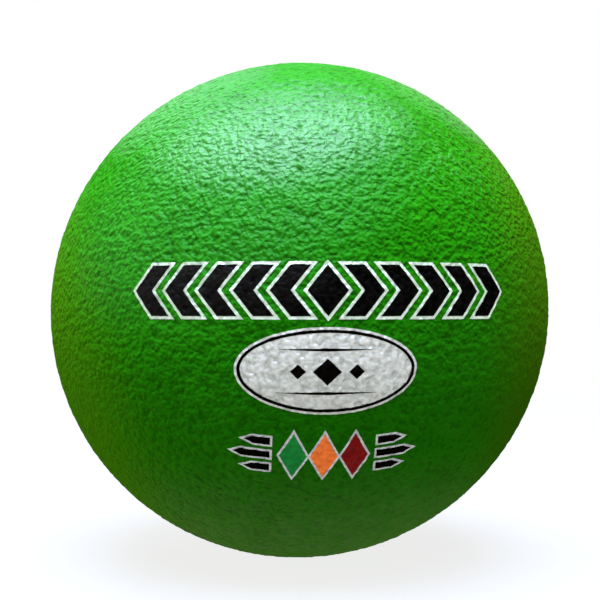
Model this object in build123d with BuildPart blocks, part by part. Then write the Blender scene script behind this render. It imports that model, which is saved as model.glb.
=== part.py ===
"""A coated foam dodgeball: a foam core, a sprayed skin, and the ink films printed on the skin.

Millimetres, +Z up, origin at the ball's centre. The print faces -Y.
"""

from build123d import *
from math import cos, hypot, sin, sqrt
import os

os.makedirs("parts", exist_ok=True)

# The ball
ball_diameter = 177.8
skin_thickness = 0.6

# The ink films: the keylines lie on the skin, and the marks lie on the keylines
ink_thickness = 0.12
cutter_margin = 1.0

# The headline: a diamond with a row of chevrons on each side of it
headline_rise = 5.7
headline_height = 15.0
headline_point = 6.0
chevron_stroke = 6.0
chevron_gap = 4.8
chevron_count = 5
headline_keyline = 0.9

# The badge: an oval with a ring inside its edge, and an ornament in the middle
badge_drop = 18.0
badge_width = 53.8
badge_height = 26.2
badge_border = 0.75
badge_ring_width = 0.9
rule_length = 30.0
rule_width = 0.9
rule_spacing = 13.0
middle_lozenge_width = 8.4
middle_lozenge_height = 8.0
side_lozenge_width = 4.6
side_lozenge_height = 4.4
side_lozenge_spacing = 8.6

# The emblem: three lozenges between two stacks of pointed bars
emblem_drop = 45.5
emblem_keyline = 0.7
emblem_lozenge_width = 8.2
emblem_lozenge_height = 15.6
emblem_lozenge_spacing = 9.2
bar_gap = 2.8
bar_width = 2.3
bar_spacing = 4.8
middle_bar_length = 10.8
outer_bar_length = 7.6
bar_point = 2.4

# Radii of the layers, from the core outwards
skin_radius = ball_diameter / 2
core_radius = skin_radius - skin_thickness
mark_radius = skin_radius + ink_thickness


def tangent_plane(along, rise):
    """The plane that touches the skin at an arc length along its parallel and above the equator."""
    latitude = rise / skin_radius
    longitude = along / (skin_radius * cos(latitude))
    outward = Vector(
        sin(longitude) * cos(latitude),
        -cos(longitude) * cos(latitude),
        sin(latitude),
    )
    eastward = Vector(cos(longitude), sin(longitude), 0)
    return Plane(origin=outward * skin_radius, x_dir=eastward, z_dir=outward)


def print_film(outlines, half_width, half_height, under_radius):
    """One ink film: outlines on tangent planes, cut down onto the sphere that the film lies on.

    The half sizes are those of the largest outline, which sets how deep the cutters go.
    """
    half_span = hypot(half_width, half_height)
    fall = skin_radius - sqrt(skin_radius**2 - half_span**2)
    reach = fall + 2 * ink_thickness + cutter_margin
    with BuildPart() as film:
        for place, draw in outlines:
            with BuildSketch(place.offset(-reach)):
                draw()
            extrude(amount=2 * reach)
        Sphere(under_radius + ink_thickness, mode=Mode.INTERSECT)
        Sphere(under_radius, mode=Mode.SUBTRACT)
    return film.part


def save(part, name):
    part.label = name
    export_step(part, f"parts/{name}.step")


def lozenge(width, height):
    half_width = width / 2
    half_height = height / 2
    Polygon((half_width, 0), (0, half_height), (-half_width, 0), (0, -half_height))


def widen(amount):
    """Grows the sketch by a keyline's width, with sharp corners."""
    offset(amount=amount, kind=Kind.INTERSECTION)


# Foam core
with BuildPart() as foam_core:
    Sphere(core_radius)
save(foam_core.part, "foam_core")

# Skin: a closed coat around the core
with BuildPart() as skin:
    Sphere(skin_radius)
    Sphere(core_radius, mode=Mode.SUBTRACT)
save(skin.part, "skin")

# Headline: the chevrons nest into each other, and the diamond's edges run parallel to theirs
chevron_width = chevron_stroke + headline_point
chevron_pitch = chevron_stroke + chevron_gap


def headline_diamond():
    lozenge(2 * headline_point, headline_height)


def chevron(side):
    back = -side * chevron_width / 2
    notch = back + side * headline_point
    shoulder = back + side * chevron_stroke
    tip = side * chevron_width / 2
    top = headline_height / 2
    Polygon((back, top), (notch, 0), (back, -top), (shoulder, -top), (tip, 0), (shoulder, top))


def keyed_diamond():
    headline_diamond()
    widen(headline_keyline)


def keyed_chevron(side):
    chevron(side)
    widen(headline_keyline)


headline_places = [(0, tangent_plane(0, headline_rise))]
for side in (-1, 1):
    for index in range(chevron_count):
        middle = chevron_gap + index * chevron_pitch + chevron_width / 2
        headline_places.append((side, tangent_plane(side * middle, headline_rise)))

headline_marks = []
headline_keylines = []
for side, place in headline_places:
    if side == 0:
        headline_marks.append((place, headline_diamond))
        headline_keylines.append((place, keyed_diamond))
    else:
        headline_marks.append((place, lambda side=side: chevron(side)))
        headline_keylines.append((place, lambda side=side: keyed_chevron(side)))

headline_half_width = chevron_width / 2 + 2 * headline_keyline
headline_half_height = headline_height / 2 + 2 * headline_keyline
headline_size = (headline_half_width, headline_half_height)
save(print_film(headline_keylines, *headline_size, skin_radius), "headline_keylines")
save(print_film(headline_marks, *headline_size, mark_radius), "headline_marks")

# Badge
badge_place = tangent_plane(0, -badge_drop)
badge_size = (badge_width / 2, badge_height / 2)


def badge_oval():
    Ellipse(*badge_size)


def badge_ring():
    outer = [half - badge_border for half in badge_size]
    inner = [half - badge_ring_width for half in outer]
    Ellipse(*outer)
    Ellipse(*inner, mode=Mode.SUBTRACT)


def badge_ornament():
    with GridLocations(0, rule_spacing, 1, 2):
        lozenge(rule_length, rule_width)
    lozenge(middle_lozenge_width, middle_lozenge_height)
    with Locations((-side_lozenge_spacing, 0), (side_lozenge_spacing, 0)):
        lozenge(side_lozenge_width, side_lozenge_height)


save(print_film([(badge_place, badge_oval)], *badge_size, skin_radius), "badge_field")
save(print_film([(badge_place, badge_ring)], *badge_size, mark_radius), "badge_ring")
save(print_film([(badge_place, badge_ornament)], *badge_size, mark_radius), "badge_ornament")

# Emblem
emblem_place = tangent_plane(0, -emblem_drop)
bar_start = emblem_lozenge_spacing + emblem_lozenge_width / 2 + bar_gap
bar_reach = bar_start + max(middle_bar_length, outer_bar_length)
emblem_height = max(emblem_lozenge_height, 2 * bar_spacing + bar_width)
emblem_size = (bar_reach + 2 * emblem_keyline, emblem_height / 2 + 2 * emblem_keyline)


def emblem_lozenge(index):
    with Locations((index * emblem_lozenge_spacing, 0)):
        lozenge(emblem_lozenge_width, emblem_lozenge_height)


def pointed_bar(side, middle, length):
    """A bar that starts beside the lozenges and points away from them."""
    low = middle - bar_width / 2
    high = middle + bar_width / 2
    near = side * bar_start
    tip = side * (bar_start + length)
    neck = tip - side * bar_point
    Polygon((near, low), (neck, low), (tip, middle), (neck, high), (near, high))


def emblem_bars():
    for side in (-1, 1):
        pointed_bar(side, -bar_spacing, outer_bar_length)
        pointed_bar(side, 0, middle_bar_length)
        pointed_bar(side, bar_spacing, outer_bar_length)


def emblem_keylines():
    emblem_bars()
    for index in (-1, 0, 1):
        emblem_lozenge(index)
    widen(emblem_keyline)


save(print_film([(emblem_place, emblem_keylines)], *emblem_size, skin_radius), "emblem_keylines")
save(print_film([(emblem_place, emblem_bars)], *emblem_size, mark_radius), "emblem_bars")
for index, colour in ((-1, "green"), (0, "orange"), (1, "red")):
    outline = (emblem_place, lambda index=index: emblem_lozenge(index))
    save(print_film([outline], *emblem_size, mark_radius), f"emblem_lozenge_{colour}")
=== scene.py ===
"""The looks of a coated foam dodgeball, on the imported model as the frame.

Metres, +Z up, origin at the ball's centre. The print faces -Y.
"""

from math import cos, pi, radians, sin, sqrt, tan

import bmesh
import bpy
import numpy as np
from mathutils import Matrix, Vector, noise
from mathutils.bvhtree import BVHTree
from mathutils.geometry import delaunay_2d_cdt
from mathutils.interpolate import poly_3d_calc


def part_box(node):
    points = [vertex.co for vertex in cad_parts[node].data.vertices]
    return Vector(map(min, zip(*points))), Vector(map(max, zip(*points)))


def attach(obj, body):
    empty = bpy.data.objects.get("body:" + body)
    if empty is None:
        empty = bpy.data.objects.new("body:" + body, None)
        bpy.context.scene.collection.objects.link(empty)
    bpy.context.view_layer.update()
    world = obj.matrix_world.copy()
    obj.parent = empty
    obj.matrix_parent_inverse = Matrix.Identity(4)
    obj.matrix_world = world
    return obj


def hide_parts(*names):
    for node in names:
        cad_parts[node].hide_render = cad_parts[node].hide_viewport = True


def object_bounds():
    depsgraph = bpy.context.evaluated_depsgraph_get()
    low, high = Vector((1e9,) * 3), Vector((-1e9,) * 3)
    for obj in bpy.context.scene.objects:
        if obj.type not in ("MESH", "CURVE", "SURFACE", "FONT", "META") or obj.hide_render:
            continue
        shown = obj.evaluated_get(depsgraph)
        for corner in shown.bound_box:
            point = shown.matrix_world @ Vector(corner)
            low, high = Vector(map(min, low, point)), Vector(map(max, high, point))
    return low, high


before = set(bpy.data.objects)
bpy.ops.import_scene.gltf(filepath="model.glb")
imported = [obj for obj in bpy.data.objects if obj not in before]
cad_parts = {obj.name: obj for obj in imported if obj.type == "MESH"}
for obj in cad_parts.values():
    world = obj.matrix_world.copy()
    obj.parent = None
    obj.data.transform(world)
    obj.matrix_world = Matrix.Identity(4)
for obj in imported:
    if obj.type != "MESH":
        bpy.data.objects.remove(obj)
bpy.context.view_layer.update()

millimetre = 0.001
ball_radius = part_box("skin")[1].z
core_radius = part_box("foam_core")[1].z

# A foam ball is never quite round: it is a little longer along one slanted axis
out_of_round = 0.006
slant = radians(30)
long_axis = np.array((cos(slant), 0.0, sin(slant)))
short_axis = np.array((sin(slant), 0.0, -cos(slant)))

# Quads along the side of each of the six squares that make up a ball mesh
skin_divisions = 126
lining_divisions = 24
core_divisions = 56

# Places on a map for baking, as left, bottom, width and height
outside_box = (0, 0, 1, 0.95)
lining_box = (0, 0.96, 1, 0.04)
whole_box = (0, 0, 1, 1)
map_margin = 0.01

# The skin's grain, with sizes and heights in millimetres
swell_size = 8.0
swell_height = 0.10
lump_size = 1.85
lump_height = 1.15
stray_size = 4.0
stray_reach = 0.3
dome_size = 2.1
dome_fall = 0.8
dome_share = 0.33
crinkle_size = 1.2
pebble_height = 1.25
pit_size = 1.6
pit_range = (0.58, 0.84)
pit_depth = 0.15

# The share of the swells and lumps that the mesh has: the rest is bump
moulded_share = 0.6

# The foam core
core_gap = 0.15 * millimetre
core_dent = 0.25 * millimetre
core_dent_size = 4.0 * millimetre

# The ink films
film_thickness = 0.1 * millimetre
film_grid = 0.5 * millimetre
edge_clearance = 0.55 * film_grid
ragged_size = 1.1 * millimetre
ragged_reach = 0.05 * millimetre
ragged_spread = 90
weld_distance = 0.001 * millimetre
merge_distance = 1e-9


class Zone:
    """A round area of the ball: its middle's direction, and the cosines at its edge and where it is full."""

    def __init__(self, middle, edge, full):
        self.middle = Vector(middle).normalized()
        self.edge = edge
        self.full = full


# Where the skin has kept its gloss, and the share of the most gloss in each zone
buffed_zone = Zone((-0.17, -0.57, 0.80), edge=0.81, full=0.955)
satin_zone = Zone((-0.40, -0.62, 0.675), edge=0.62, full=0.85)
satin_share = 0.17
speckled_zone = Zone((0.3, -0.5, 0.81), edge=0.80, full=0.96)
speckled_share = 0.18
left_shoulder = Zone((-0.45, -0.35, 0.82), edge=0.915, full=0.985)
left_share = 0.25
right_shoulder = Zone((0.46, -0.30, 0.835), edge=0.94, full=0.985)
right_share = 0.1

# The most gloss of each surface, and how it fades at a flat angle and in hollows
skin_gloss = 0.95
ink_gloss = 0.15
black_gloss = 0.5
flat_angle = (0.27, 0.70)
flat_gloss = 0.05
hollow_gloss = 0.2

# Where the skin is calmer or smoother, where its colour has painted olive and yellow reflections, and where
# its sheen is weaker
calm_zone = Zone((0.75, -0.35, -0.56), edge=0.50, full=0.85)
calm_share = 0.35
smooth_zone = Zone((1, 0, 0), edge=0.1, full=0.6)
smooth_share = 0.65
olive_reflection_zone = Zone((1, 0, 0), edge=0.52, full=0.82)
yellow_reflection_zone = Zone((-0.96, 0, -0.28), edge=0.62, full=0.90)
worn_zone = Zone((1, 0, 0), edge=0.1, full=0.85)
rubbed_zone = Zone((-0.5, -0.5, 0.7), edge=0.58, full=0.92)
full_sheen = 0.08
worn_sheen = 0.05
rubbed_sheen = 0.03
sheen_roughness = 0.48
sheen_tint = (1.0, 0.72, 0.04, 1)

# Ranges of the grain's relief, in millimetres, that the colours and the gloss follow
deep_relief = (-0.55, -0.20)
shaded_relief = (-0.26, 0.02)
top_relief = (-0.05, 0.25)
ink_shade_relief = (-0.36, 0.36)

# The range that most values of a noise lie in
noise_range = (0.3, 0.7)

# The skin's colours and roughness, with sizes and heights in millimetres. The hollow and pit colours are
# painted shade, and the underside, olive and yellow colours are painted reflections.
deep_green = (0.0185, 0.30, 0.003, 1)
fresh_green = (0.0225, 0.35, 0.004, 1)
green_patch_size = 18.0
painted_shade_green = (0.009, 0.15, 0.002, 1)
hollow_shade = 0.45
painted_pit_shade_green = (0.008, 0.11, 0.002, 1)
pit_shade = 0.5
# Painted reflection: a pale flecked colour on the underside stands in for the pale floor reflected there
painted_underside_reflection = (0.21, 0.42, 0.14, 1)
underside_reflection_heights = (-80.0, -40.0)
underside_fleck_size = 5.0
underside_fleck_range = (0.25, 0.75)
underside_reflection_shares = (0.25, 0.5)
# Painted reflections of warm surroundings at the right and lower left edges
painted_olive_reflection = (0.056, 0.265, 0.003, 1)
painted_yellow_reflection = (0.056, 0.33, 0.004, 1)
skin_dull_size = 2.4
skin_roughness = (0.50, 0.56)

# The inks' look, with sizes and heights in millimetres
ink_grain = 0.8
ink_patch_size = 1.1
ink_patch_weight = 0.35
ink_shade_weight = 0.65
# Painted shade: ink darker and warmer lower down on the ball
lower_shade_ink = (0.36, 0.35, 0.27, 1)
lower_shade_heights = (-32.0, -4.0)
ink_dull_size = 1.6
ink_roughness = (0.50, 0.60)

# The foam's look, with sizes in millimetres
foam_cell_size = 1.2
foam_cell_range = (0.1, 0.6)
foam_cell_depth = 0.3
pale_foam = (0.62, 0.60, 0.50, 1)
shaded_foam = (0.34, 0.32, 0.25, 1)
foam_roughness = (0.85, 0.95)

# The studio
white = (1, 1, 1, 1)
room_light = (0.05, 0.047, 0.042, 1)
floor_light = (0.315, 0.298, 0.252, 1)
floor_colour = (0.92, 0.92, 0.92, 1)
floor_reach = 6.0
floor_segments = 96
shadow_share = 0.18
shadow_reach = (0.15, 0.9)

# The camera, with the ball's place and radius in an image of this many pixels
image_side = 600
ball_pixels = 247.9
ball_centre_pixels = (299.7, 310.0)
sensor_width = 36.0
camera_distance = 4.5 * ball_radius
camera_turn = radians(5.3)


class Graph:
    """Adds nodes to a node tree. An input takes a value or another node's output."""

    def __init__(self, tree):
        self.tree = tree

    def feed(self, socket, value):
        if isinstance(value, bpy.types.NodeSocket):
            self.tree.links.new(value, socket)
        else:
            socket.default_value = value

    def add(self, kind, inputs=(), **settings):
        node = self.tree.nodes.new(kind)
        for name, value in settings.items():
            setattr(node, name, value)
        for key, value in dict(inputs).items():
            self.feed(node.inputs[key], value)
        return node

    def math(self, operation, *values):
        return self.add("ShaderNodeMath", dict(enumerate(values)), operation=operation).outputs[0]

    def vector(self, operation, *values):
        return self.add("ShaderNodeVectorMath", dict(enumerate(values)), operation=operation).outputs[0]

    def scaled(self, vector, factor):
        node = self.add("ShaderNodeVectorMath", {"Vector": vector, "Scale": factor}, operation="SCALE")
        return node.outputs[0]

    def noise(self, place, size, detail=0.0, output="Fac"):
        inputs = {"Vector": place, "Scale": 1 / size, "Detail": detail}
        return self.add("ShaderNodeTexNoise", inputs).outputs[output]

    def ramp(self, value, low, high, to_low=0.0, to_high=1.0, smooth=True):
        """The value carried from one range to another, and held at its ends."""
        inputs = {"Value": value, 1: low, 2: high, 3: to_low, 4: to_high}
        kind = "SMOOTHSTEP" if smooth else "LINEAR"
        return self.add("ShaderNodeMapRange", inputs, interpolation_type=kind).outputs[0]

    def mix(self, factor, first, second):
        """A colour between two colours."""
        node = self.add("ShaderNodeMix", data_type="RGBA")
        colour_inputs = [socket for socket in node.inputs if socket.type == "RGBA"]
        self.feed(node.inputs[0], factor)
        self.feed(colour_inputs[0], first)
        self.feed(colour_inputs[1], second)
        return next(socket for socket in node.outputs if socket.type == "RGBA")


def on_ball(graph, position):
    """The place on the ball under a position, in millimetres, so that all layers share one grain."""
    outward = graph.vector("NORMALIZE", position)
    return graph.scaled(outward, ball_radius / millimetre)


def strayed(graph, place):
    """The place moved about a little, so that the grain doesn't look regular."""
    drift = graph.vector("SUBTRACT", graph.noise(place, stray_size, output="Color"), (0.5, 0.5, 0.5))
    return graph.vector("ADD", place, graph.scaled(drift, 2 * stray_reach))


def moulded_grain(graph, place):
    """Swells and lumps, as a height in millimetres about zero."""
    swells = graph.math("SUBTRACT", graph.noise(place, swell_size, detail=1.0), 0.5)
    lumps = graph.math("SUBTRACT", graph.noise(strayed(graph, place), lump_size), 0.5)
    swells = graph.math("MULTIPLY", swells, swell_height)
    lumps = graph.math("MULTIPLY", lumps, lump_height)
    return graph.math("ADD", swells, lumps)


def pebbles(graph, place):
    """The finest bumps of the grain, from 0 in the hollows to 1 on the tops."""
    spot = strayed(graph, place)
    cells = graph.add("ShaderNodeTexVoronoi", {"Vector": spot, "Scale": 1 / dome_size})
    fall = graph.math("POWER", cells.outputs["Distance"], 2.0)
    domes = graph.ramp(fall, 0.0, dome_fall, 1.0, 0.0, smooth=False)
    domes = graph.math("MULTIPLY", domes, dome_share)
    crinkles = graph.math("MULTIPLY", graph.noise(spot, crinkle_size, detail=0.5), 1 - dome_share)
    return graph.math("ADD", domes, crinkles)


def pits(graph, place):
    """1 in the middle of a small pit, and 0 away from it."""
    return graph.ramp(graph.noise(place, pit_size, detail=1.0), *pit_range)


def cube_sphere(divisions):
    """A ball of even quads: directions, quads, and each quad corner's place on one of six squares."""
    side = divisions + 1
    steps = np.arange(side)
    across, along = np.meshgrid(steps, steps, indexing="ij")
    lattice = []
    quads = []
    spots = []
    for axis in range(3):
        for sign in (-1, 1):
            points = np.zeros((side, side, 3), dtype=int)
            points[..., axis] = divisions if sign > 0 else 0
            points[..., (axis + 1) % 3] = across
            points[..., (axis + 2) % 3] = along
            numbers = np.arange(side * side).reshape(side, side) + len(lattice) * side * side
            ring = [numbers[:-1, :-1], numbers[1:, :-1], numbers[1:, 1:], numbers[:-1, 1:]]
            if sign < 0:
                ring.reverse()
            lattice.append(points.reshape(-1, 3))
            quads.append(np.stack(ring, axis=-1).reshape(-1, 4))
            spots.append(np.stack((across, along), axis=-1).reshape(-1, 2) / divisions)
    lattice = np.concatenate(lattice)
    quads = np.concatenate(quads)
    spots = np.concatenate(spots)[quads]

    # Points that two or three squares share become one
    keys = (lattice[:, 0] * side + lattice[:, 1]) * side + lattice[:, 2]
    _, first, number = np.unique(keys, return_index=True, return_inverse=True)
    points = np.tan((lattice[first] / divisions - 0.5) * pi / 2)
    directions = points / np.linalg.norm(points, axis=1, keepdims=True)
    return directions, number.reshape(-1)[quads], spots


def roundness(directions):
    """The radius in each direction, as a share of its nominal value."""
    shares = 1 + out_of_round * ((directions @ long_axis) ** 2 - (directions @ short_axis) ** 2)
    return shares[:, None]


def mesh_from(name, vertices, faces):
    mesh = bpy.data.meshes.new(name)
    mesh.from_pydata(vertices, [], faces)
    mesh.polygons.foreach_set("use_smooth", [True] * len(mesh.polygons))
    mesh.update()
    return mesh


def place_object(name, data):
    placed = bpy.data.objects.new(name, data)
    bpy.context.scene.collection.objects.link(placed)
    return placed


def grown_by_grain(vertices, quads):
    """The vertices, moved in or out by the moulded part of the grain."""
    tree = bpy.data.node_groups.new("grain", "GeometryNodeTree")
    tree.interface.new_socket("Geometry", in_out="INPUT", socket_type="NodeSocketGeometry")
    tree.interface.new_socket("Geometry", in_out="OUTPUT", socket_type="NodeSocketGeometry")
    graph = Graph(tree)
    position = graph.add("GeometryNodeInputPosition").outputs[0]
    height = moulded_grain(graph, on_ball(graph, position))
    rise = graph.math("MULTIPLY", height, moulded_share * millimetre)
    offset = graph.scaled(graph.vector("NORMALIZE", position), rise)
    start = graph.add("NodeGroupInput")
    moved = graph.add("GeometryNodeSetPosition", {"Geometry": start.outputs[0], "Offset": offset})
    end = graph.add("NodeGroupOutput")
    tree.links.new(moved.outputs[0], end.inputs[0])

    blank = place_object("blank", mesh_from("blank", vertices.tolist(), quads.tolist()))
    blank.modifiers.new("grain", "NODES").node_group = tree
    shaped = blank.evaluated_get(bpy.context.evaluated_depsgraph_get()).to_mesh()
    moved_vertices = np.empty(len(shaped.vertices) * 3)
    shaped.vertices.foreach_get("co", moved_vertices)
    bpy.data.objects.remove(blank)
    bpy.data.node_groups.remove(tree)
    return moved_vertices.reshape(-1, 3)


def map_for_baking(mesh, ball_spots, boxes):
    """Lays the six squares of each ball in the mesh side by side, three by two, in a box of the map."""
    layer = mesh.uv_layers.new(name="OFBake")
    places = []
    for spots, (left, bottom, width, height) in zip(ball_spots, boxes):
        per_square = len(spots) // 6
        for square in range(6):
            cell = (square % 3, square // 3)
            here = spots[square * per_square : (square + 1) * per_square]
            here = map_margin + here * (1 - 2 * map_margin)
            here = (here + cell) / (3, 2)
            places.append(here * (width, height) + (left, bottom))
    layer.uv.foreach_set("vector", np.concatenate(places).reshape(-1))


# The skin: a grained outside and a plain lining, as one closed coat
directions, quads, spots = cube_sphere(skin_divisions)
outside = grown_by_grain(directions * ball_radius * roundness(directions), quads)
lining_directions, lining_quads, lining_spots = cube_sphere(lining_divisions)
lining = lining_directions * core_radius * roundness(lining_directions)
skin_mesh = mesh_from(
    "skin_coat",
    np.concatenate((outside, lining)).tolist(),
    np.concatenate((quads, lining_quads[:, ::-1] + len(outside))).tolist(),
)
map_for_baking(skin_mesh, (spots, lining_spots[:, ::-1]), (outside_box, lining_box))
skin = place_object("skin_coat", skin_mesh)

# The outside of the skin, for finding places on it
outside_mesh = mesh_from("outside", outside.tolist(), quads.tolist())
outside_normals = [vertex.normal.copy() for vertex in outside_mesh.vertices]
outside_points = [vertex.co.copy() for vertex in outside_mesh.vertices]
outside_mesh.calc_loop_triangles()
outside_triangles = [tuple(triangle.vertices) for triangle in outside_mesh.loop_triangles]
outside_tree = BVHTree.FromPolygons(outside_points, outside_triangles)
bpy.data.meshes.remove(outside_mesh)

# The core: a ball of foam that fills the coat
core_directions, core_quads, core_spots = cube_sphere(core_divisions)
core_points = core_directions * (core_radius - core_gap) * roundness(core_directions)
dents = np.array([abs(noise.noise(Vector(point) / core_dent_size)) for point in core_points])
core_points = core_points - core_directions * (core_dent * dents)[:, None]
core_mesh = mesh_from("foam_ball", core_points.tolist(), core_quads.tolist())
map_for_baking(core_mesh, (core_spots,), (whole_box,))
core = place_object("foam_ball", core_mesh)


def patch_numbers(vertices):
    """The number of the connected patch that each vertex belongs to."""
    numbers = {}
    count = 0
    for start in vertices:
        if start in numbers:
            continue
        numbers[start] = count
        waiting = [start]
        while waiting:
            vertex = waiting.pop()
            for edge in vertex.link_edges:
                other = edge.other_vert(vertex)
                if other not in numbers:
                    numbers[other] = count
                    waiting.append(other)
        count += 1
    return numbers, count


def outer_patches(node):
    """The outlines of each patch of a CAD film's outer face, as loops of directions."""
    shape = bmesh.new()
    shape.from_mesh(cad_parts[node].data)
    bmesh.ops.remove_doubles(shape, verts=shape.verts, dist=weld_distance)
    radii = [vertex.co.length for vertex in shape.verts]
    middle = (min(radii) + max(radii)) / 2
    inner = [vertex for vertex in shape.verts if vertex.co.length < middle]
    bmesh.ops.delete(shape, geom=inner, context="VERTS")

    # The next vertex along the rim, for each vertex on it
    onward = {}
    for edge in shape.edges:
        if len(edge.link_loops) == 1:
            loop = edge.link_loops[0]
            onward[loop.vert] = loop.link_loop_next.vert

    numbers, count = patch_numbers(shape.verts)
    patches = [[] for _ in range(count)]
    while onward:
        start = next(iter(onward))
        outline = []
        vertex = start
        while vertex in onward:
            outline.append(vertex.co.normalized())
            vertex = onward.pop(vertex)
        patches[numbers[start]].append(outline)
    shape.free()
    return patches


def divided(points, step):
    """A closed outline with points about a step apart, its corners kept."""
    following = np.roll(points, -1, axis=0)
    outline = []
    for here, there in zip(points, following):
        count = max(1, round(np.linalg.norm(there - here) / step))
        shares = np.arange(count)[:, None] / count
        outline.append(here + (there - here) * shares)
    return np.concatenate(outline)


def ragged(points, centre):
    """The outline with the slightly uneven edge of printed ink, another one at each place on the ball."""
    along = np.roll(points, -1, axis=0) - np.roll(points, 1, axis=0)
    across = np.stack((along[:, 1], -along[:, 0]), axis=1)
    across /= np.linalg.norm(across, axis=1, keepdims=True)
    start = centre * ragged_spread
    reach = [noise.noise(Vector((x, y, 0)) / ragged_size + start) for x, y in points]
    return points + across * (ragged_reach * np.array(reach))[:, None]


def inside(points, outlines):
    """Which points lie inside the outlines, with holes counted as outside."""
    within = np.zeros(len(points), dtype=bool)
    for outline in outlines:
        for (x0, y0), (x1, y1) in zip(outline, np.roll(outline, -1, axis=0)):
            if y0 == y1:
                continue
            between = (points[:, 1] > min(y0, y1)) & (points[:, 1] <= max(y0, y1))
            meets = x0 + (points[:, 1] - y0) * (x1 - x0) / (y1 - y0)
            within ^= between & (points[:, 0] < meets)
    return within


def grid_inside(outlines, rim):
    """The points of an even triangular grid that lie inside the outlines and clear of them."""
    low, high = rim.min(axis=0), rim.max(axis=0)
    row_height = film_grid * sin(radians(60))
    grid = []
    for row, y in enumerate(np.arange(low[1], high[1], row_height)):
        start = low[0] + (row % 2) * film_grid / 2
        grid += [(x, y) for x in np.arange(start, high[0], film_grid)]
    grid = np.array(grid)
    grid = grid[inside(grid, outlines)]
    clear = np.ones(len(grid), dtype=bool)
    for point in rim:
        clear &= ((grid - point) ** 2).sum(axis=1) > edge_clearance**2
    return grid[clear]


def filled(outlines):
    """Points and counterclockwise triangles that fill flat outlines evenly."""
    rim = np.concatenate(outlines)
    edges = []
    first = 0
    for outline in outlines:
        count = len(outline)
        edges += [(first + i, first + (i + 1) % count) for i in range(count)]
        first += count
    points = [Vector(point) for point in np.concatenate((rim, grid_inside(outlines, rim)))]
    points, _, triangles, *_ = delaunay_2d_cdt(points, edges, [], 0, merge_distance)
    points = np.array(points)
    triangles = np.array(triangles)
    triangles = triangles[inside(points[triangles].mean(axis=1), outlines)]
    along = points[triangles[:, 1]] - points[triangles[:, 0]]
    across = points[triangles[:, 2]] - points[triangles[:, 0]]
    area = along[:, 0] * across[:, 1] - along[:, 1] * across[:, 0]
    return points, np.where(area[:, None] > 0, triangles, triangles[:, ::-1])


def on_skin(direction):
    """The skin's point and smooth normal in a direction from the centre."""
    start = direction * (2 * ball_radius)
    point, _, face, _ = outside_tree.ray_cast(start, -direction)
    corners = outside_triangles[face]
    shares = poly_3d_calc([outside_points[corner] for corner in corners], point)
    normal = Vector((0, 0, 0))
    for corner, share in zip(corners, shares):
        normal += outside_normals[corner] * share
    return point, normal.normalized()


def ink_film(node, layer, name):
    """A film of ink over the skin, with the outlines of a CAD film. Layer 0 lies on the skin."""
    vertices = []
    faces = []
    normals = []
    for loops in outer_patches(node):
        centre = sum((sum(loop, Vector()) for loop in loops), Vector()).normalized()
        east = Vector((0, 0, 1)).cross(centre).normalized()
        north = centre.cross(east)
        outlines = []
        for loop in loops:
            flat = np.array([(point.dot(east), point.dot(north)) for point in loop]) * ball_radius
            outlines.append(ragged(divided(flat, film_grid), centre))
        points, triangles = filled(outlines)

        bottom = []
        top = []
        up = []
        for x, y in points / ball_radius:
            direction = east * x + north * y + centre * sqrt(1 - x * x - y * y)
            point, normal = on_skin(direction)
            bottom.append(point + direction * (film_thickness * layer))
            top.append(point + direction * (film_thickness * (layer + 1)))
            up.append(normal)
        below = len(vertices)
        above = below + len(bottom)
        vertices += bottom + top

        edges = {}
        for a, b, c in triangles.tolist():
            faces.append((above + a, above + b, above + c))
            normals += [up[a], up[b], up[c]]
            faces.append((below + c, below + b, below + a))
            normals += [-up[c], -up[b], -up[a]]
            edges.update(dict.fromkeys(((a, b), (b, c), (c, a))))

        # An edge that only one triangle has is on the rim. A zero normal there leaves the normal to Blender.
        for a, b in edges:
            if (b, a) not in edges:
                faces.append((below + a, below + b, above + b, above + a))
                normals += [Vector((0, 0, 0))] * 4
    mesh = mesh_from(name, vertices, faces)
    mesh.normals_split_custom_set(normals)
    return place_object(name, mesh)


def procedural(name):
    """A new material: its graph, its shader, and the place on the ball in millimetres."""
    material = bpy.data.materials.new(name)
    material.use_nodes = True
    material.node_tree.nodes.clear()
    graph = Graph(material.node_tree)
    shader = graph.add("ShaderNodeBsdfPrincipled")
    output = graph.add("ShaderNodeOutputMaterial")
    graph.feed(output.inputs["Surface"], shader.outputs[0])
    position = graph.add("ShaderNodeTexCoord").outputs["Object"]
    return material, graph, shader, on_ball(graph, position)


def bumped(graph, shader, height):
    """Puts a height in millimetres on the surface."""
    bump = graph.add("ShaderNodeBump", {"Strength": 1.0, "Distance": millimetre, "Height": height})
    graph.feed(shader.inputs["Normal"], bump.outputs["Normal"])


def surface_grain(graph, place, fine_share):
    """The bump that the mesh is too coarse for, the relief of the whole grain, and the pits."""
    moulded = moulded_grain(graph, place)
    fine = graph.math("MULTIPLY", graph.math("SUBTRACT", pebbles(graph, place), 0.5), pebble_height)
    relief = graph.math("ADD", moulded, fine)
    holes = pits(graph, place)
    bump = graph.math("MULTIPLY", moulded, 1 - moulded_share)
    bump = graph.math("ADD", bump, graph.math("MULTIPLY", fine, fine_share))
    bump = graph.math("SUBTRACT", bump, graph.math("MULTIPLY", holes, pit_depth * fine_share))
    return bump, relief, holes


def zone_ramp(graph, place, zone, beyond=0.0, within=1.0):
    """A value that changes smoothly from what it is beyond a zone to what it is within it."""
    inputs = {0: graph.vector("NORMALIZE", place), 1: zone.middle}
    nearness = graph.add("ShaderNodeVectorMath", inputs, operation="DOT_PRODUCT").outputs["Value"]
    return graph.ramp(nearness, zone.edge, zone.full, beyond, within)


def height_on_ball(graph, place):
    return graph.add("ShaderNodeSeparateXYZ", {0: place}).outputs["Z"]


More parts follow.
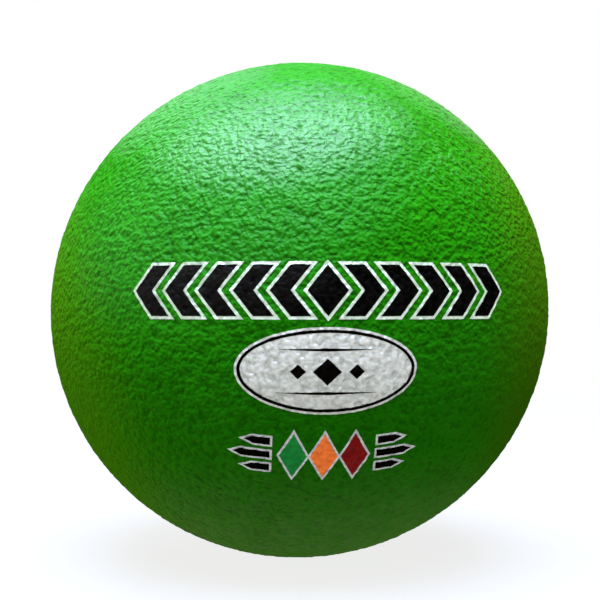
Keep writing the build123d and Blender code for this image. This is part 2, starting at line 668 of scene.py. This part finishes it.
def satin_gloss(graph, place, relief, most):
    """Gloss that is full where the ball is buffed, faint around that, and weak in the hollows.

    It fades at a flat angle, apart from a little on the shoulders. On the speckled side only tops have it.
    """
    full = zone_ramp(graph, place, buffed_zone, 0.0, most)
    faint = zone_ramp(graph, place, satin_zone, 0.0, satin_share * most)
    specks = zone_ramp(graph, place, speckled_zone, 0.0, speckled_share * most)
    specks = graph.math("MULTIPLY", specks, graph.ramp(relief, *top_relief))
    gloss = graph.math("MAXIMUM", graph.math("MAXIMUM", full, faint), specks)
    turned = graph.add("ShaderNodeLayerWeight", {"Blend": 0.5}).outputs["Facing"]
    gloss = graph.math("MULTIPLY", gloss, graph.ramp(turned, *flat_angle, 1.0, flat_gloss))
    for shoulder, share in ((left_shoulder, left_share), (right_shoulder, right_share)):
        gloss = graph.math("MAXIMUM", gloss, zone_ramp(graph, place, shoulder, 0.0, share * most))
    return graph.math("MULTIPLY", gloss, graph.ramp(relief, *deep_relief, hollow_gloss, 1.0))


def skin_material():
    """A green coat, with painted shade in its hollows and pits, a painted pale reflection flecked over its
    underside, and painted olive and yellow-green reflections on its right and left.
    """
    material, graph, shader, place = procedural("green_skin")
    bump, relief, holes = surface_grain(graph, place, 1.0)
    calmed = zone_ramp(graph, place, calm_zone, 1.0, calm_share)
    bumped(graph, shader, graph.math("MULTIPLY", bump, calmed))

    patches = graph.ramp(graph.noise(place, green_patch_size, detail=2.0), *noise_range)
    colour = graph.mix(patches, deep_green, fresh_green)
    # Painted shade: the colour darkens in the grain's hollows, where shade falls.
    painted_hollow_shade = graph.ramp(relief, *shaded_relief, hollow_shade, 0.0)
    colour = graph.mix(painted_hollow_shade, colour, painted_shade_green)
    # Painted shade: the colour darkens in the small pits, where shade falls.
    colour = graph.mix(graph.math("MULTIPLY", holes, pit_shade), colour, painted_pit_shade_green)
    # Painted reflection: a pale flecked veil low on the ball stands in for the pale floor's reflection and
    # bounce light on the underside.
    low = graph.ramp(height_on_ball(graph, place), *underside_reflection_heights, 1.0, 0.0)
    underside_reflection_flecks = graph.ramp(graph.noise(place, underside_fleck_size, detail=3.0), *underside_fleck_range, *underside_reflection_shares)
    colour = graph.mix(graph.math("MULTIPLY", low, underside_reflection_flecks), colour, painted_underside_reflection)
    # Painted reflection: olive on the right and yellow-green low on the left stand in for warm surroundings
    # reflected at the edges.
    colour = graph.mix(zone_ramp(graph, place, olive_reflection_zone), colour, painted_olive_reflection)
    colour = graph.mix(zone_ramp(graph, place, yellow_reflection_zone), colour, painted_yellow_reflection)
    graph.feed(shader.inputs["Base Color"], colour)

    dull = graph.ramp(graph.noise(place, skin_dull_size, detail=1.0), *noise_range, *skin_roughness)
    smoother = zone_ramp(graph, place, smooth_zone, 1.0, smooth_share)
    graph.feed(shader.inputs["Roughness"], graph.math("MULTIPLY", smoother, dull))
    graph.feed(shader.inputs["Specular IOR Level"], satin_gloss(graph, place, relief, skin_gloss))

    most_sheen = zone_ramp(graph, place, worn_zone, full_sheen, worn_sheen)
    sheen = zone_ramp(graph, place, rubbed_zone, most_sheen, rubbed_sheen)
    graph.feed(shader.inputs["Sheen Weight"], sheen)
    shader.inputs["Sheen Roughness"].default_value = sheen_roughness
    shader.inputs["Sheen Tint"].default_value = sheen_tint
    return material


def ink_material(name, dark, light, metallic, lower_shade=0.0, gloss=ink_gloss):
    """Ink: dark in the hollows of the grain and light on its tops, partly thinner ink and partly painted
    shade of the grain, and with painted shade lower down where it says so.
    """
    material, graph, shader, place = procedural(name)
    bump, relief, _ = surface_grain(graph, place, ink_grain)
    bumped(graph, shader, bump)

    patches = graph.ramp(graph.noise(place, ink_patch_size, detail=2.0), *noise_range)
    # Partly painted shade: the ink is darker in the grain's hollows and lighter on its tops, partly from
    # thinner ink and partly standing in for the grain's shading.
    painted_grain_shade = graph.ramp(relief, *ink_shade_relief)
    patches = graph.math("MULTIPLY", patches, ink_patch_weight)
    painted_grain_shade = graph.math("MULTIPLY", painted_grain_shade, ink_shade_weight)
    colour = graph.mix(graph.math("ADD", patches, painted_grain_shade), dark, light)
    # Painted shade: the ink darkens towards the bottom of the ball, where less light falls.
    low = graph.ramp(height_on_ball(graph, place), *lower_shade_heights, lower_shade, 0.0)
    colour = graph.mix(low, colour, lower_shade_ink)
    graph.feed(shader.inputs["Base Color"], colour)

    dull = graph.ramp(graph.noise(place, ink_dull_size, detail=1.0), *noise_range, *ink_roughness)
    graph.feed(shader.inputs["Roughness"], dull)
    graph.feed(shader.inputs["Specular IOR Level"], satin_gloss(graph, place, relief, gloss))
    shader.inputs["Metallic"].default_value = metallic
    return material


def foam_material():
    """Open-cell foam: pale, with painted shade in the hollow of each cell."""
    material, graph, shader, place = procedural("pale_foam")
    inputs = {"Vector": place, "Scale": 1 / foam_cell_size}
    cells = graph.add("ShaderNodeTexVoronoi", inputs, feature="SMOOTH_F1")
    hollow = graph.ramp(cells.outputs["Distance"], *foam_cell_range, 1.0, 0.0)
    bumped(graph, shader, graph.math("MULTIPLY", hollow, -foam_cell_depth))
    # Painted shade: the foam's colour darkens in each cell's hollow.
    graph.feed(shader.inputs["Base Color"], graph.mix(hollow, pale_foam, shaded_foam))
    graph.feed(shader.inputs["Roughness"], graph.ramp(hollow, 0.0, 1.0, *foam_roughness))
    return material


white_silver = ink_material(
    "white_silver_print",
    dark=(0.53, 0.64, 0.50, 1),
    light=(0.70, 0.81, 0.65, 1),
    metallic=0.9,
)
silver = ink_material(
    "silver_print",
    dark=(0.53, 0.54, 0.49, 1),
    light=(0.98, 0.98, 0.91, 1),
    metallic=0.65,
    lower_shade=0.4,
)
dull_silver = ink_material(
    "dull_silver_print",
    dark=(0.36, 0.36, 0.33, 1),
    light=(0.56, 0.56, 0.52, 1),
    metallic=0.9,
)
black = ink_material(
    "black_print",
    dark=(0.0015, 0.0015, 0.0015, 1),
    light=(0.009, 0.0072, 0.0056, 1),
    metallic=0.0,
    gloss=black_gloss,
)
green = ink_material(
    "green_print",
    dark=(0.008, 0.16, 0.024, 1),
    light=(0.012, 0.24, 0.04, 1),
    metallic=0.8,
)
orange = ink_material(
    "orange_print",
    dark=(0.72, 0.15, 0.025, 1),
    light=(0.92, 0.21, 0.04, 1),
    metallic=0.8,
)
red = ink_material(
    "red_print",
    dark=(0.15, 0.004, 0.004, 1),
    light=(0.21, 0.007, 0.006, 1),
    metallic=0.8,
)


def dress(piece, node, material):
    piece.data.materials.append(material)
    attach(piece, "root")
    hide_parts(node)


dress(skin, "skin", skin_material())
dress(core, "foam_core", foam_material())

films = (
    ("headline_keylines", 0, "silver_ink", white_silver),
    ("headline_marks", 1, "black_ink", black),
    ("badge_field", 0, "silver_ink", silver),
    ("badge_ring", 1, "black_ink", black),
    ("badge_ornament", 1, "black_ink", black),
    ("emblem_keylines", 0, "silver_ink", dull_silver),
    ("emblem_bars", 1, "black_ink", black),
    ("emblem_lozenge_green", 1, "green_ink", green),
    ("emblem_lozenge_orange", 1, "orange_ink", orange),
    ("emblem_lozenge_red", 1, "red_ink", red),
)
for node, layer, slot, material in films:
    dress(ink_film(node, layer, f"{node}_ink"), node, material)


def seen_directly(graph):
    """1 for rays from the camera, a mirror-like surface or a clear one, and 0 for the rest."""
    path = graph.add("ShaderNodeLightPath")
    seen = graph.math("ADD", path.outputs["Is Camera Ray"], path.outputs["Is Glossy Ray"])
    seen = graph.math("ADD", seen, path.outputs["Is Transmission Ray"])
    return graph.math("MINIMUM", seen, 1.0)


def blend_shaders(graph, share, first, second):
    return graph.add("ShaderNodeMixShader", {0: share, 1: first.outputs[0], 2: second.outputs[0]})


def studio_room():
    """A world that is white to look at, and dim as a light."""
    world = bpy.data.worlds.new("studio")
    world.use_nodes = True
    world.node_tree.nodes.clear()
    graph = Graph(world.node_tree)
    dim = graph.add("ShaderNodeBackground", {"Color": room_light, "Strength": 1.0})
    shown = graph.add("ShaderNodeBackground", {"Color": white, "Strength": 1.0})
    surface = blend_shaders(graph, seen_directly(graph), dim, shown)
    output = graph.add("ShaderNodeOutputWorld")
    graph.feed(output.inputs["Surface"], surface.outputs[0])
    return world


def floor_material():
    """White to look at apart from the ball's shadow, and darker as a light."""
    material = bpy.data.materials.new("pale_floor")
    material.use_nodes = True
    material.node_tree.nodes.clear()
    graph = Graph(material.node_tree)
    position = graph.add("ShaderNodeTexCoord").outputs["Object"]
    distance = graph.add("ShaderNodeVectorMath", {0: position}, operation="LENGTH").outputs["Value"]
    near = graph.ramp(distance, *shadow_reach, shadow_share, 0.0)
    lit = graph.add("ShaderNodeBsdfDiffuse", {"Color": floor_colour})
    glow = graph.add("ShaderNodeEmission", {"Color": white, "Strength": 1.0})
    shown = blend_shaders(graph, near, glow, lit)
    dim = graph.add("ShaderNodeEmission", {"Color": floor_light, "Strength": 1.0})
    surface = blend_shaders(graph, seen_directly(graph), dim, shown)
    output = graph.add("ShaderNodeOutputMaterial")
    graph.feed(output.inputs["Surface"], surface.outputs[0])
    return material


bpy.context.scene.world = studio_room()

# The floor: a wide disc under the ball
floor_mesh = bpy.data.meshes.new("floor")
disc = bmesh.new()
bmesh.ops.create_circle(disc, cap_ends=True, segments=floor_segments, radius=floor_reach)
disc.to_mesh(floor_mesh)
disc.free()
floor = place_object("floor", floor_mesh)
floor.location.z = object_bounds()[0][2]
floor_mesh.materials.append(floor_material())


def soft_lamp(name, place, size, power, colour, mirrored=True):
    """A lamp that faces the ball. The skin's gloss shows it if it is mirrored."""
    data = bpy.data.lights.new(name, "AREA")
    data.shape = "RECTANGLE"
    data.size, data.size_y = size
    data.energy = power
    data.color = colour
    lamp = place_object(name, data)
    lamp.location = place
    lamp.rotation_euler = lamp.location.to_track_quat("Z", "Y").to_euler()
    lamp.visible_camera = False
    lamp.visible_glossy = mirrored


# A large cool panel overhead, a small one behind, and weak fills from the front and the left
soft_lamp(
    "overhead",
    place=(-0.02, -0.18, 1.03),
    size=(1.0, 1.1),
    power=27.5,
    colour=(0.80, 1.0, 1.45),
)
soft_lamp(
    "behind",
    place=(-0.40, 0.78, 0.92),
    size=(0.4, 0.4),
    power=2.4,
    colour=(0.8, 0.97, 1.3),
)
soft_lamp(
    "front_fill",
    place=(-0.1, -1.1, 0.75),
    size=(0.9, 0.9),
    power=1.0,
    colour=(0.8, 1.0, 1.0),
    mirrored=False,
)
soft_lamp(
    "left_fill",
    place=(-1.1, 0.15, 0.1),
    size=(0.8, 0.8),
    power=4.7,
    colour=(1.0, 0.85, 0.5),
    mirrored=False,
)

# The camera: level with the ball's centre, and a little to the left of the print's middle
sight_angle = np.arcsin(ball_radius / camera_distance)
focal_pixels = ball_pixels / tan(sight_angle)
camera_data = bpy.data.cameras.new("camera")
camera_data.sensor_width = sensor_width
camera_data.lens = sensor_width * focal_pixels / image_side
camera_data.shift_x = (image_side / 2 - ball_centre_pixels[0]) / image_side
camera_data.shift_y = (ball_centre_pixels[1] - image_side / 2) / image_side
camera_data.clip_start = 0.01
camera = place_object("camera", camera_data)
camera.location = (-camera_distance * sin(camera_turn), -camera_distance * cos(camera_turn), 0)
camera.rotation_euler = (radians(90), 0, -camera_turn)
bpy.context.scene.camera = camera

bpy.context.scene.view_settings.view_transform = "Standard"
